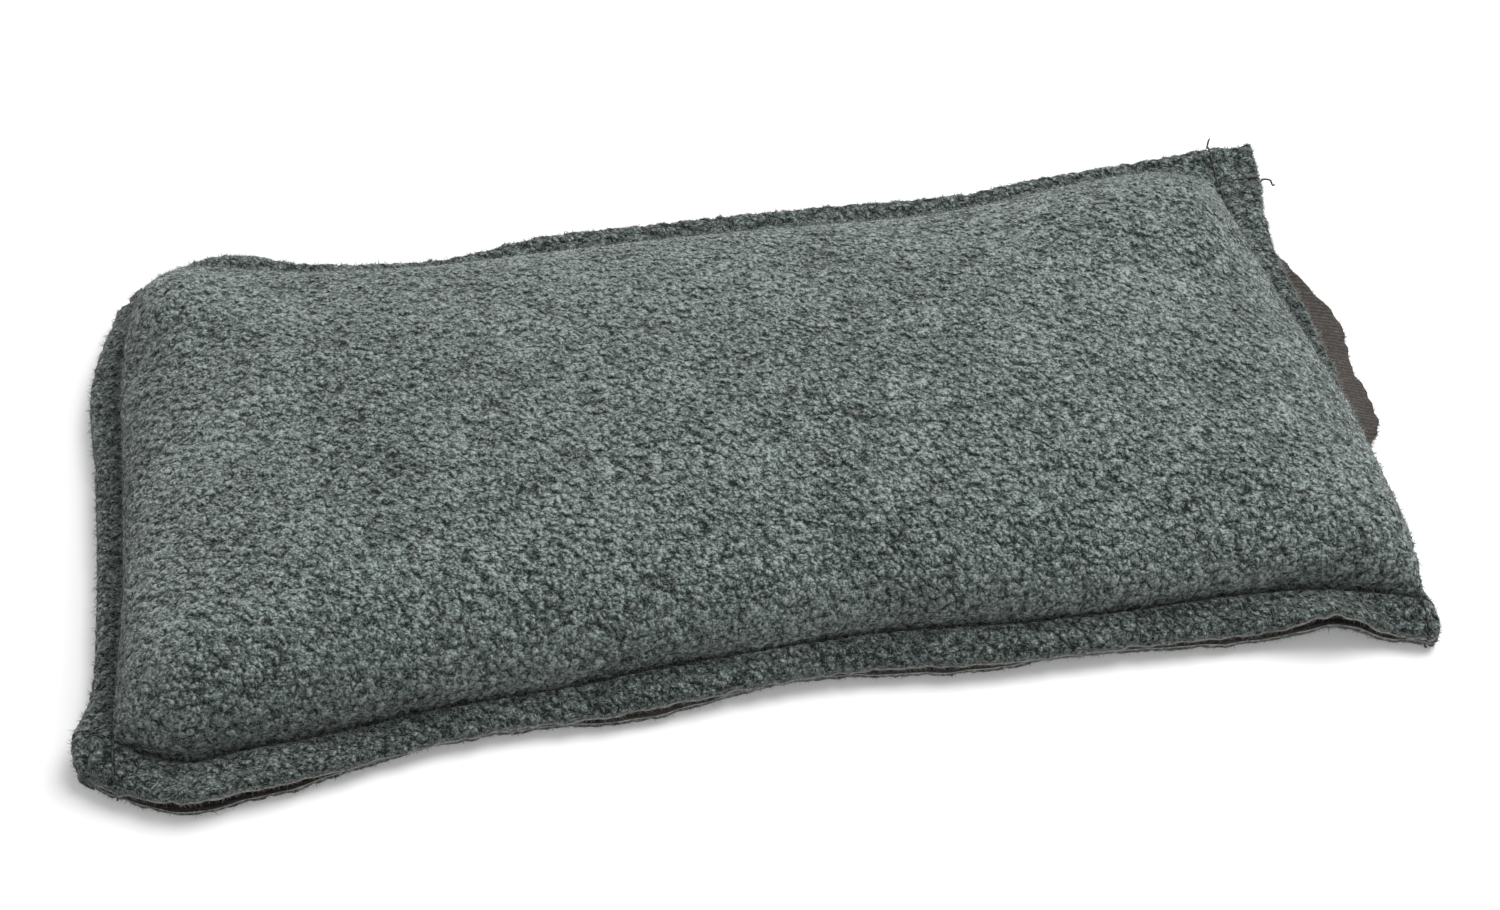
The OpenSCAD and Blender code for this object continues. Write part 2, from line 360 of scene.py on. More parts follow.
def sewn_pillow(name, top, base, material):
    """A closed mesh of an upper and a lower dome."""
    upper, lower = sewn_numbers(top.shape[:2])
    points = np.concatenate([top.reshape(-1, 3), base[1:-1, 1:-1].reshape(-1, 3)])
    faces = np.concatenate([grid_faces(upper), grid_faces(lower, flip=True)])
    return new_piece(name, points, faces, [material])


class Rule:
    """A Geometry Nodes tree with named sizes, which ends in Realize Instances and Set Material."""

    def __init__(self, name, sizes):
        self.tree = bpy.data.node_groups.new(name, "GeometryNodeTree")
        face = self.tree.interface
        face.new_socket("Geometry", in_out="INPUT", socket_type="NodeSocketGeometry")
        self.sizes = sizes
        for size in sizes:
            face.new_socket(size, in_out="INPUT", socket_type="NodeSocketFloat")
        face.new_socket("Geometry", in_out="OUTPUT", socket_type="NodeSocketGeometry")
        start = self.tree.nodes.new("NodeGroupInput")
        self.start = Wire(self.tree, start.outputs[0])
        self.size = {name: Wire(self.tree, start.outputs[name]) for name in sizes}

    def add(self, kind, settings=None, sockets=None, out=0):
        return node(self.tree, kind, settings, sockets, out)

    def end(self, geometry, material):
        real = self.add("GeometryNodeRealizeInstances", {}, {0: geometry})
        done = self.add("GeometryNodeSetMaterial", {}, {"Geometry": real, "Material": material})
        self.finish(done)

    def finish(self, geometry):
        out = self.tree.nodes.new("NodeGroupOutput")
        self.tree.links.new(geometry.socket, out.inputs[0])

    def run(self, piece, name):
        """Runs the tree on a piece and returns the result as a new plain mesh object."""
        modifier = piece.modifiers.new("rule", "NODES")
        modifier.node_group = self.tree
        for item in self.tree.interface.items_tree:
            if item.in_out == "INPUT" and item.name in self.sizes:
                modifier[item.identifier] = self.sizes[item.name]
        bpy.context.view_layer.update()
        evaluated = piece.evaluated_get(bpy.context.evaluated_depsgraph_get())
        mesh = bpy.data.meshes.new_from_object(evaluated)
        mesh.name = name
        piece.modifiers.remove(modifier)
        made = bpy.data.objects.new(name, mesh)
        scene.collection.objects.link(made)
        return made


def drop(*pieces):
    for piece in pieces:
        bpy.data.objects.remove(piece)


def own_place(tree):
    """Places in metres on the piece itself."""
    return node(tree, "ShaderNodeTexCoord", out=3)


def noise(tree, place, scale, detail=2.0, roughness=0.5, out=0):
    return node(tree, "ShaderNodeTexNoise", {}, {
        "Vector": place, "Scale": scale, "Detail": detail, "Roughness": roughness}, out)


def shade_of(colour, share):
    return tuple(share * c for c in colour[:3]) + (1.0,)


def bumped(tree, height, strength, distance):
    return node(tree, "ShaderNodeBump", {}, {
        "Height": height, "Strength": strength, "Distance": distance})


def finished(material, sockets):
    """Ends a material in one Principled surface."""
    tree = material.node_tree
    finish_material(tree, node(tree, "ShaderNodeBsdfPrincipled", {}, sockets))
    return material


def leaning(rule, spots, lean, seed_number):
    """The way that each scattered shape points: off the surface, leant and spun at random."""
    upright = Wire(rule.tree, spots.socket.node.outputs["Rotation"])
    turn = rule.add("FunctionNodeRandomValue", {"data_type": "FLOAT_VECTOR"}, {
        0: rule.add("ShaderNodeCombineXYZ", {}, {0: 0 - lean, 1: 0 - lean, 2: -math.pi}),
        1: rule.add("ShaderNodeCombineXYZ", {}, {0: lean, 1: lean, 2: math.pi}), "Seed": seed_number})
    return rule.add("FunctionNodeRotateRotation", {"rotation_space": "LOCAL"}, {
        0: upright, 1: rule.add("FunctionNodeEulerToRotation", {}, {0: turn})})


def seed_material():
    material, tree = new_material("flax_seed")
    shade = noise(tree, own_place(tree), 260.0, 1.0)
    colour = mixed(tree, shade, shade_of(SEED_BROWN, 0.55), SEED_BROWN)
    return finished(material, {"Base Color": colour, "Roughness": 0.32, "Coat Weight": 0.2})


def seed_shape():
    """One pointed flat seed of a few dozen faces, lying along X."""
    around = SEED_SIDES
    points = [(SEED_LENGTH * SEED_STATIONS[0][0], 0, 0)]
    for along, share in SEED_STATIONS[1:-1]:
        for k in range(around):
            turn = 2 * math.pi * k / around
            points.append((SEED_LENGTH * along, SEED_WIDTH / 2 * share * math.cos(turn),
                           SEED_THICK / 2 * share * math.sin(turn)))
    points.append((SEED_LENGTH * SEED_STATIONS[-1][0], 0, 0))
    last = len(points) - 1
    faces = []
    for k in range(around):
        n = (k + 1) % around
        faces.append((0, 1 + n, 1 + k))
        for ring in range(len(SEED_STATIONS) - 3):
            a = 1 + ring * around
            faces.append((a + k, a + n, a + around + n))
            faces.append((a + k, a + around + n, a + around + k))
        faces.append((last - around + k, last - around + n, last))
    return new_piece("seed", points, faces, [])


seed_low, seed_high = (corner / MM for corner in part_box("seed_fill"))
seed_top, seed_base, _ = pillow(
    (seed_low.x, seed_high.x), (seed_low.y, seed_high.y), SEED_ROUND, seed_low.z + SEED_THICK,
    seed_high.z - CROWN - SEED_THICK, 5, 16, 8, held=SEED_HELD)
flax = seed_material()
heap = sewn_pillow("seed_heap", seed_top, seed_base, flax)
seed = seed_shape()
rule = Rule("lay_seed_on_heap", {"Seeds per square metre": SEED_DENSITY * 1e6, "Tumble": SEED_TUMBLE})
spots = rule.add("GeometryNodeDistributePointsOnFaces", {"distribute_method": "RANDOM"}, {
    "Mesh": rule.start, "Density": rule.size["Seeds per square metre"], "Seed": 7})
turned = leaning(rule, spots, rule.size["Tumble"], 3)
one_seed = rule.add("GeometryNodeObjectInfo", {}, {"Object": seed}, out="Geometry")
seeds = rule.add("GeometryNodeInstanceOnPoints", {}, {
    "Points": spots, "Instance": one_seed, "Rotation": turned})
rule.end(seeds, flax)
loose = rule.run(heap, "loose_seed")
for part in (heap, loose):
    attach(part, "root")
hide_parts("seed_fill")
drop(seed)

# ------------------------------------------------------------
# The inner bag
# Undyed plain-woven cotton, folded at the left end and sewn along its other three sides, so that the
# seed stays in when the fleece cover is opened. Its seam allowance lies flat outside the stitches.

COTTON = 0.4
COTTON_WHITE = (0.74, 0.69, 0.59, 1.0)
YARN = 0.55
# A wave pattern of scale 1 has 3.18 bands in each metre
WAVE_BANDS = 3.18
BAG_ROUND, BAG_HELD = 15.0, 0.6


def stretched(tree, turn, sizes):
    """Places turned and stretched, for a pattern that runs one way."""
    return node(tree, "ShaderNodeMapping", {}, {
        "Vector": own_place(tree), "Rotation": turn, "Scale": sizes})


def cotton_material():
    material, tree = new_material("undyed_cotton")
    place = own_place(tree)
    turns = 1000 / YARN / 2
    warp, weft = (node(tree, "ShaderNodeTexWave", {"bands_direction": way}, {
        "Vector": place, "Scale": turns / WAVE_BANDS, "Distortion": 0.6, "Detail": 1.0}) for way in "XY")
    slub = noise(tree, stretched(tree, (0, 0, 0), (60, 900, 900)), 1.0)
    weave = (warp - weft).maths("ABSOLUTE")
    shade = (weave * 0.5 + slub * 0.5).limited()
    return finished(material, {
        "Base Color": mixed(tree, shade, shade_of(COTTON_WHITE, 0.62), COTTON_WHITE),
        "Normal": bumped(tree, weave, 0.5, 0.0002),
        "Roughness": 0.85, "Specular IOR Level": 0.2, "Sheen Weight": 0.1})


bag_low, bag_high = (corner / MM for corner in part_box("inner_bag"))
bag_seams = {
    "front": thread_middle("bag_front_seam_needle_thread", 1),
    "back": thread_middle("bag_back_seam_needle_thread", 1),
    "right": thread_middle("bag_end_seam_needle_thread", 0),
}
bag_left = bag_low.x + bag_high.x - bag_seams["right"]
bag_xs, bag_ys = (bag_left, bag_seams["right"]), (bag_seams["front"], bag_seams["back"])
bag_top, bag_base, _ = pillow(
    bag_xs, bag_ys, BAG_ROUND, bag_low.z, bag_high.z - CROWN, 6, 24, 12, held=BAG_HELD)


def flat_border(grid, side):
    """Adds the flat seam allowance round a dome, on its upper (1) or lower (-1) side."""
    allowance = bag_seams["front"] - bag_low.y
    for axis in (0, 1):
        before, after = np.take(grid, [0], axis).copy(), np.take(grid, [-1], axis).copy()
        before[..., axis] -= allowance
        after[..., axis] += allowance
        grid = np.concatenate([before, grid, after], axis)
    grid[[0, -1], :, 2] += side * COTTON
    grid[:, [0, -1], 2] += side * COTTON
    return grid


bag_top, bag_base = flat_border(bag_top, 1), flat_border(bag_base, -1)
bag_upper = np.arange(bag_top[..., 0].size).reshape(bag_top.shape[:2])
bag_lower = bag_upper + bag_upper.size
rim = [
    np.stack([bag_lower[:-1, 0], bag_lower[1:, 0], bag_upper[1:, 0], bag_upper[:-1, 0]], -1),
    np.stack([bag_lower[1:, -1], bag_lower[:-1, -1], bag_upper[:-1, -1], bag_upper[1:, -1]], -1),
    np.stack([bag_lower[0, 1:], bag_lower[0, :-1], bag_upper[0, :-1], bag_upper[0, 1:]], -1),
    np.stack([bag_lower[-1, :-1], bag_lower[-1, 1:], bag_upper[-1, 1:], bag_upper[-1, :-1]], -1),
]
for grid, side in ((bag_top, 1), (bag_base, -1)):
    dome = grid[1:-1, 1:-1]
    dome[[0, -1], :, 2] += side * COTTON
    dome[1:-1, [0, -1], 2] += side * COTTON
bag_points = np.concatenate([bag_top.reshape(-1, 3), bag_base.reshape(-1, 3)])
bag_faces = np.concatenate([grid_faces(bag_upper), grid_faces(bag_lower, flip=True)] + rim)
bag = new_piece("inner_bag_cotton", bag_points, bag_faces, [cotton_material()])
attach(bag, "root")
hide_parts("inner_bag")

# ------------------------------------------------------------
# The bag's threads
# Fine undyed cotton thread in a lockstitch: the needle thread lies on top of the bag's allowance, the
# bobbin thread under it, and they hook into each other in the middle of the cloth at every stitch.


def thread_material(name, colour, roughness):
    material, tree = new_material(name)
    ply = noise(tree, stretched(tree, (0, 0, 0.7), (1800, 5200, 5200)), 1.0)
    return finished(material, {
        "Base Color": mixed(tree, ply, shade_of(colour, 0.45), colour),
        "Normal": bumped(tree, ply, 0.7, 0.0001), "Roughness": roughness, "Sheen Weight": 0.1})


def sewn_thread(name, path_mm, stitch, thickness, dip, material):
    """A thread along a path, which dips into the cloth once in each stitch."""
    path = bpy.data.meshes.new("path")
    steps = [(i, i + 1) for i in range(len(path_mm) - 1)]
    path.from_pydata((np.asarray(path_mm) * MM).tolist(), steps, [])
    line = bpy.data.objects.new("path", path)
    scene.collection.objects.link(line)
    rule = Rule("lockstitch", {
        "Stitch length": stitch * MM, "Thread thickness": thickness * MM, "Dip": dip * MM})
    curve = rule.add("GeometryNodeMeshToCurve", {}, {"Mesh": rule.start})
    curve = rule.add("GeometryNodeResampleCurve", {"mode": "LENGTH"}, {
        "Curve": curve, "Length": rule.size["Stitch length"] / 10})
    length = rule.add("GeometryNodeSplineParameter", out="Length")
    wave = 0.5 - (length / rule.size["Stitch length"] * (2 * math.pi)).maths("COSINE") * 0.5
    down = rule.add("ShaderNodeCombineXYZ", {}, {"Z": 0 - wave ** 4 * rule.size["Dip"]})
    curve = rule.add("GeometryNodeSetPosition", {}, {"Geometry": curve, "Offset": down})
    ring = rule.add("GeometryNodeCurvePrimitiveCircle", {}, {
        "Resolution": 6, "Radius": rule.size["Thread thickness"] / 2})
    tube = rule.add("GeometryNodeCurveToMesh", {}, {
        "Curve": curve, "Profile Curve": ring, "Fill Caps": True})
    rule.end(tube, material)
    made = rule.run(line, name + "_stitches")
    drop(line)
    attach(made, "root")
    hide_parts(name)


BAG_STITCH, BAG_THREAD = 3.0, 0.25
THREAD_UNDYED = (0.70, 0.66, 0.57, 1.0)
bag_thread = thread_material("undyed_thread", THREAD_UNDYED, 0.6)
for layer, grid, kind in ((1, bag_top, "needle"), (-1, bag_base, "bobbin")):
    lines = {
        "bag_front_seam": (grid[:, 1], 0.4),
        "bag_back_seam": (grid[:, -2], 0.4),
        "bag_end_seam": (grid[-2], 1.2),
    }
    for seam, (line, proud) in lines.items():
        raised = line + np.array([0, 0, layer * BAG_THREAD * proud])
        sewn_thread(f"{seam}_{kind}_thread", raised, BAG_STITCH, BAG_THREAD, layer * COTTON,
                    bag_thread)

# ------------------------------------------------------------
# The fleece cover
# One strip of heather charcoal fleece, brushed outside and knitted flat inside, folded at the left
# end and laid over the bag. Its front, back and right edges are cut raw and left outside the seams.

# The fleece is 2.1 mm thick with its pile, and 1.25 mm where a seam squeezes it. Its knit side keeps
# a small gap from the other layer's, which in the margins is KNIT_DEPTH of the thickness
FLEECE = 2.1
SQUEEZED = 1.25
INSIDE_GAP = 0.15
KNIT_DEPTH = 0.07
PRESSED_WIDTH = 0.9
# Where a seam runs on over a margin its squeeze is weaker by CROSSING, and the margins' pile is
# flattened, and its colour darkened as painted shade, by CRUSHED_AND_SHADED
CROSSING = 0.6
CRUSHED_AND_SHADED = 0.52
# The filled body: how far its round sides reach, how steep they are, and the room left for swelling
ROLL_REACH = 16.0
FULL_SIDES = 0.75
SHRUNK = 2.5
SWELL_FRAMES = 20
SWELL_PRESSURE = 4.0
SWELL_MOST = 5.0
# The cut edges: their pile is rounded over, the knit stands a little proud, and the cut is uneven
ROUNDED = 0.9
BASE_PROUD = 0.15
CORNER_CUT = 0.25
RAGGED = 0.18
ON_TABLE = 0.1
# The tufts, and the spacing of the points that draw them
TUFT = 1.25
PILE_DEPTH = 0.55
SPACING = 0.4
FOLD_TURNS = 6
# Where the rings of a margin lie, as shares of it: the first one closes the seam's channel
MARGIN_RINGS = np.array([0.13, 0.32, 0.55, 0.78, 0.92, 1.0])

# The loose margins outside the seams, from one seam corner (-1) to the other (1): how far each
# layer reaches, how far its edge lifts above the seam, and how far the two layers gape
FRONT_EDGE = {
    "at": [-121, -114, -104, -90, -68, -45, -27, 0, 26, 50, 68, 84, 97, 104, 121],
    "upper": [7.4, 8.0, 9.0, 8.6, 6.4, 5.5, 6.8, 5.0, 6.7, 6.0, 6.4, 7.4, 7.5, 7.0, 6.0],
    "lower": [7.0, 8.0, 9.2, 8.8, 5.9, 5.0, 7.1, 4.5, 7.0, 5.5, 6.6, 7.8, 8.0, 7.2, 5.5],
    "lift": [-3, -3, -1, -1, -1, -1.5, -2, -2.2, -2, -2, -2, -1.6, 1.4, -2.5, -2],
    "gape": [0.0, 0.3, 1.6, 1.2, 0.0, 0.0, 0.7, 0.0, 0.6, 0.0, 0.5, 0.7, 1.2, 0.5, 0.0],
}
BACK_EDGE = {
    "at": [-121, -114, -100, -78, -54, -30, 0, 30, 68, 90, 121],
    "upper": [2, 5, 9.5, 8, 8, 9, 9, 9, 8.6, 8.2, 9],
    "lower": [2, 5, 9.5, 8, 8, 9, 8.8, 8.8, 8.4, 8.4, 10.2],
    "lift": [-4, -1, 1, 1, 1, 1.5, 1.5, 1.5, 1.5, 1.5, 1.5],
    "gape": [0.6, 0.6, 0.5, 0.4, 0.4, 0.5, 0.6, 0.6, 0.8, 1.0, 2.0],
}
LEFT_EDGE = {
    "at": [-63, -50, -22, 11, 38, 63],
    "upper": [6.5, 4.6, 4.6, 5.0, 6.0, 2.0],
    "lower": [6.5, 4.6, 4.6, 5.0, 6.0, 2.0],
    "lift": [-2, -1.5, -1.2, -1, -1.5, -4],
    "gape": [0.0, 0.2, 0.2, 0.2, 0.2, 0.4],
}
RIGHT_EDGE = {
    "at": [-60, -50, -33, -14, -7, 11, 25, 31, 44, 60],
    "upper": [3.5, 1.5, 1, 1, 3, 4.5, 5, 5, 6.3, 10.3],
    "lower": [3.2, 2, 1.5, 3.5, 9, 11, 12.5, 8.5, 5.8, 11],
    "lift": [-1.5, -3, -4, -3, -1.5, -1.0, -0.5, 0, 0, 0.0],
    "gape": [0.4, 0.6, 0.6, 2, 3.5, 4.5, 3.5, 0.8, 0.6, 1.4],
}


def margin_point(fx, fy, at_x, at_y, layer, rounded, more, depth):
    """A point of the margin on its layer's outside. fx and fy run from 0 at a seam to 1 at the edge,
    negative towards the fold and the front. at_x and at_y are the ring's places between the seams.
    depth is 1 on the layer's outside and near 0 on its inside."""
    reach = "upper" if layer > 0 else "lower"
    corner = 1 - CORNER_CUT * (np.abs(fx) * np.abs(fy))**2 * ((fx < 0) | (fy < 0))
    left, right = np.clip(-fx, 0, 1), np.clip(fx, 0, 1)
    front, rear = np.clip(-fy, 0, 1), np.clip(fy, 0, 1)
    x = (at_x - left * corner * eased(LEFT_EDGE, reach, at_y)
         + right * corner * (more + eased(RIGHT_EDGE, reach, at_y)))
    y = (at_y - front * corner * (more + eased(FRONT_EDGE, reach, at_x))
         + rear * corner * (more + eased(BACK_EDGE, reach, at_x)))
    shares = ((left, LEFT_EDGE, at_y), (right, RIGHT_EDGE, at_y),
              (front, FRONT_EDGE, at_x), (rear, BACK_EDGE, at_x))
    lift = sum(share**1.5 * eased(side, "lift", at) for share, side, at in shares)
    gape = sum(share**1.5 * eased(side, "gape", at) for share, side, at in shares)
    laid = lay(x, y, seam_z + lift, 0.0)
    sewn = ((fx == 0) & np.isin(at_x, seams_x)) | ((fy == 0) & np.isin(at_y, seams_y))
    loose = CROSSING * np.clip(3 * np.maximum(np.abs(fx), np.abs(fy)), 0, 1)
    thick = np.where(sewn, SQUEEZED + (FLEECE - SQUEEZED) * loose, FLEECE)
    edge = np.clip((np.maximum(np.abs(fx), np.abs(fy)) - 0.9) * 10, 0, 1) * np.where(fx == -1, 0, 1)
    lowest = thick + gape / 2 + ON_TABLE
    laid[..., 2] = lowest + np.logaddexp(0, (laid[..., 2] - lowest) * 3) / 3
    laid[..., 2] += layer * (thick * depth + gape / 2 - rounded * edge)
    return laid


def swell(piece, sewn):
    """Lets the cloth swell under the pressure of its filling, while its sewn edge stays where it is."""
    pins = piece.vertex_groups.new(name="sewn")
    pins.add([int(v) for v in sewn], 1.0, "REPLACE")
    cloth = piece.modifiers.new("swell", "CLOTH")
    cloth.settings.vertex_group_mass = "sewn"
    cloth.settings.use_pressure = True
    cloth.settings.uniform_pressure_force = SWELL_PRESSURE
    cloth.settings.effector_weights.gravity = 0
    cloth.settings.bending_stiffness = 2.0
    cloth.collision_settings.use_collision = False
    for frame_number in range(1, SWELL_FRAMES + 1):
        scene.frame_set(frame_number)
    evaluated = piece.evaluated_get(bpy.context.evaluated_depsgraph_get())
    after = np.array([v.co for v in evaluated.data.vertices]) / MM
    before = np.array([v.co for v in piece.data.vertices]) / MM
    piece.modifiers.remove(cloth)
    scene.frame_set(1)
    move = after - before
    length = np.linalg.norm(move, axis=1, keepdims=True)
    return before + move * np.minimum(1, SWELL_MOST / np.maximum(length, 1e-6))


def finer(points, knots, steps):
    """Smooth points between the rings of a grid, along its first direction."""
    gaps = np.diff(knots)
    slopes = np.diff(points, axis=0) / gaps[:, None, None]
    tangents = np.empty_like(points)
    tangents[0], tangents[-1] = slopes[0], slopes[-1]
    wide = (gaps[:-1] + gaps[1:])[:, None, None]
    tangents[1:-1] = (slopes[:-1] * gaps[1:, None, None] + slopes[1:] * gaps[:-1, None, None]) / wide
    made = []
    for k, count in enumerate(steps):
        for w in np.arange(count) / count:
            a = 2 * w**3 - 3 * w**2 + 1
            b = w**3 - 2 * w**2 + w
            c = -2 * w**3 + 3 * w**2
            d = w**3 - w**2
            made.append(a * points[k] + b * gaps[k] * tangents[k]
                        + c * points[k + 1] + d * gaps[k] * tangents[k + 1])
    made.append(points[-1])
    return np.array(made)


def grid_normals(points):
    """The outward direction at each point of a grid."""
    along = np.gradient(points, axis=0)
    across = np.gradient(points, axis=1)
    normal = np.cross(along, across)
    return normal / np.maximum(np.linalg.norm(normal, axis=-1, keepdims=True), 1e-9)


# The body between the seams swells as cloth does. The rings of the margins are then added round it
roll_turns, spans_x, spans_y = 7, 40, 14
shoulder = pad_high - CROWN
body_x, _ = rounded_rings(seams_x[0], seams_x[1], ROLL_REACH, roll_turns, spans_x)
body_y, _ = rounded_rings(seams_y[0], seams_y[1], ROLL_REACH, roll_turns, spans_y)
body_top, body_base, body_rise = pillow(
    seams_x, seams_y, ROLL_REACH, 0.0, shoulder - SHRUNK, roll_turns, spans_x, spans_y,
    over=1.0, full=FULL_SIDES)
body = sewn_pillow("body", body_top, body_base, None)
upper_numbers, lower_numbers = sewn_numbers(body_top.shape[:2])
border = np.concatenate([
    upper_numbers[0], upper_numbers[-1], upper_numbers[1:-1, 0], upper_numbers[1:-1, -1]])
swollen = swell(body, border)
body_top, body_base = swollen[upper_numbers], swollen[lower_numbers]
drop(body)
near_seam = (1 - body_rise)[..., None] ** 3 * np.array([0, 0, SQUEEZED])
body_top = body_top + near_seam
body_base = body_base - near_seam
body_base[..., 2] = np.logaddexp(0, body_base[..., 2] * 4) / 4

edge_rings = len(MARGIN_RINGS)
share_x = np.concatenate([-MARGIN_RINGS[::-1], np.zeros(len(body_x)), MARGIN_RINGS])
share_y = np.concatenate([-MARGIN_RINGS[::-1], np.zeros(len(body_y)), MARGIN_RINGS])
ring_x = np.concatenate([np.full(edge_rings, seams_x[0]), body_x, np.full(edge_rings, seams_x[1])])
ring_y = np.concatenate([np.full(edge_rings, seams_y[0]), body_y, np.full(edge_rings, seams_y[1])])
inner = slice(edge_rings, -edge_rings)
turns = np.linspace(-math.pi / 2, math.pi / 2, FOLD_TURNS + 1)[1:-1]


def folded_strip(rounded, more, depth=1.0):
    """The whole strip: the lower layer, round the fold on a half circle, and the upper layer."""
    fx, fy = np.meshgrid(share_x, share_y, indexing="ij")
    at_x, at_y = np.meshgrid(ring_x, ring_y, indexing="ij")
    lower, upper = (margin_point(fx, fy, at_x, at_y, layer, rounded, more, depth) for layer in (-1, 1))
    lower[inner, inner] = body_base
    upper[inner, inner] = body_top
    fold_middle = (lower[0] + upper[0]) / 2
    radius = (upper[0, :, 2] - lower[0, :, 2]) / 2
    fold = np.array([np.stack([
        fold_middle[:, 0] - radius * math.cos(turn),
        fold_middle[:, 1],
        fold_middle[:, 2] + radius * math.sin(turn)], -1) for turn in turns])
    return np.concatenate([lower[::-1], fold, upper])


strip = folded_strip(ROUNDED, 0.0)
strip_gaps = np.linalg.norm(np.diff(strip, axis=0), axis=-1).mean(1)
rows_lower = len(share_x)
across_gaps = np.linalg.norm(np.diff(strip[-rows_lower:], axis=1), axis=-1).mean(0)
strip_steps = 2 * np.maximum(1, np.round(strip_gaps / SPACING / 2)).astype(int)
hidden_gaps = strip_gaps[:rows_lower - 1]
strip_steps[:rows_lower - 1] = 2 * np.maximum(1, np.round(hidden_gaps / SPACING / 4)).astype(int)
across_steps = 2 * np.maximum(1, np.round(across_gaps / SPACING / 2)).astype(int)
strip_knots = np.concatenate([[0], np.cumsum(strip_gaps)])
across_knots = np.concatenate([[0], np.cumsum(across_gaps)])


def finer_both(grid, row_steps, column_steps):
    rows = finer(grid, strip_knots, row_steps)
    return finer(rows.transpose(1, 0, 2), across_knots, column_steps).transpose(1, 0, 2)


def fine_places(knots, steps):
    starts = [a + (b - a) * np.arange(n) / n for a, b, n in zip(knots[:-1], knots[1:], steps)]
    return np.concatenate(starts + [knots[-1:]])


outside = finer_both(strip, strip_steps, across_steps)
inside = finer_both(folded_strip(0.0, BASE_PROUD), strip_steps // 2, across_steps // 2)
strip_share = np.concatenate([share_x[::-1], np.full(len(turns), -1.0), share_x])
row_places = fine_places(strip_knots, strip_steps)
column_places = fine_places(across_knots, across_steps)
row_share = np.interp(row_places, strip_knots, strip_share)
column_share = np.interp(column_places, across_knots, share_y)

# The rings that are seams: the lower layer's right and left, then the upper layer's left and right
first_upper_ring = rows_lower + len(turns)
strip_seams = [edge_rings, rows_lower - 1 - edge_rings,
               first_upper_ring + edge_rings, len(strip_share) - 1 - edge_rings]
across_seams = [edge_rings, len(share_y) - 1 - edge_rings]
along = np.abs(row_places[:, None] - strip_knots[strip_seams][None, :]).min(1)
across = np.abs(column_places[:, None] - across_knots[across_seams][None, :]).min(1)

# The stitching presses the pile along the seams, and handling flattens it over the margins.
# The same marks darken the colour as painted shade in the seam channels and on the margins beside the
# body
loose_rows = 1 - CROSSING * np.clip(3 * np.abs(row_share), 0, 1)
loose_columns = 1 - CROSSING * np.clip(3 * np.abs(column_share), 0, 1)
pressed = np.maximum(np.exp(-(along / PRESSED_WIDTH)**2)[:, None] * loose_columns[None, :],
                     np.exp(-(across / PRESSED_WIDTH)**2)[None, :] * loose_rows[:, None])
outside_seams = np.maximum(np.clip(5 * np.abs(row_share), 0, 1)[:, None],
                           np.clip(5 * np.abs(column_share), 0, 1)[None, :])
crushed_and_shaded = np.maximum(pressed, CRUSHED_AND_SHADED * outside_seams)

# The knit side lies one thickness inside the body, and flat against the other layer in the margins
wall = (FLEECE - INSIDE_GAP) - (FLEECE - SQUEEZED) * pressed[::2, ::2]
inside = inside - grid_normals(inside) * wall[..., None]
flat = finer_both(folded_strip(0.0, BASE_PROUD, KNIT_DEPTH), strip_steps // 2, across_steps // 2)
in_margin = outside_seams[::2, ::2, None]
inside = inside * (1 - in_margin) + flat * in_margin

# The cut edges are a little uneven, as scissors and fraying leave them
rows, columns = outside.shape[:2]
uneven = np.random.default_rng(5)


def ragged(count):
    noise = np.convolve(uneven.normal(size=count), np.hanning(9), "same")
    return RAGGED * noise / noise.std()


ends = ragged(rows)[:, None] * (column_share * np.abs(column_share))[None, :]
sides = ragged(columns)[None, :] * (np.clip(row_share, 0, 1)**2)[:, None]
for grid, step in ((outside, 1), (inside, 2)):
    grid[..., 0] += sides[::step, ::step]
    grid[..., 1] += ends[::step, ::step]

inside_count = inside.shape[0] * inside.shape[1]
outer_numbers = np.arange(rows * columns).reshape(rows, columns)
inner_numbers = rows * columns + np.arange(inside_count).reshape(inside.shape[:2])


def cut_edge(fine, coarse, flip):
    """The cut wall between an outer line and an inner line that has every second point."""
    a, b, c = fine[0:-2:2], fine[1:-1:2], fine[2::2]
    p, q = coarse[:-1], coarse[1:]
    faces = np.concatenate([np.stack(tri, -1) for tri in ((a, b, p), (b, q, p), (b, c, q))])
    return faces[:, ::-1] if flip else faces


outer_faces = grid_faces(outer_numbers)
inner_faces = grid_faces(inner_numbers, flip=True)
cuts = [
    cut_edge(outer_numbers[:, 0], inner_numbers[:, 0], True),
    cut_edge(outer_numbers[:, -1], inner_numbers[:, -1], False),
    cut_edge(outer_numbers[0], inner_numbers[0], False),
    cut_edge(outer_numbers[-1], inner_numbers[-1], True),
]
cover_points = np.concatenate([outside.reshape(-1, 3), inside.reshape(-1, 3)])
mesh = bpy.data.meshes.new("fleece_cover_cloth")
faces = outer_faces.tolist() + inner_faces.tolist() + [f for cut in cuts for f in cut.tolist()]
mesh.from_pydata((cover_points * MM).tolist(), [], faces)
mesh.update()
cover = bpy.data.objects.new("fleece_cover_cloth", mesh)
scene.collection.objects.link(cover)
cut_count = sum(len(cut) for cut in cuts)
kinds = np.repeat([0, 1, 2], [len(outer_faces), len(inner_faces), cut_count]).astype(np.int32)
mesh.polygons.foreach_set("material_index", kinds)
mesh.polygons.foreach_set("use_smooth", [True] * len(kinds))
marks = {
    # This mark flattens the pile and also darkens its colour as painted shade along the seams and over
    # the margins
    "pressed": np.concatenate([crushed_and_shaded.ravel(), np.ones(inside_count)]),
    "outer": np.concatenate([np.ones(rows * columns), np.zeros(inside_count)]),
}
for name, values in marks.items():
    mesh.attributes.new(name, "FLOAT", "POINT").data.foreach_set("value", values)
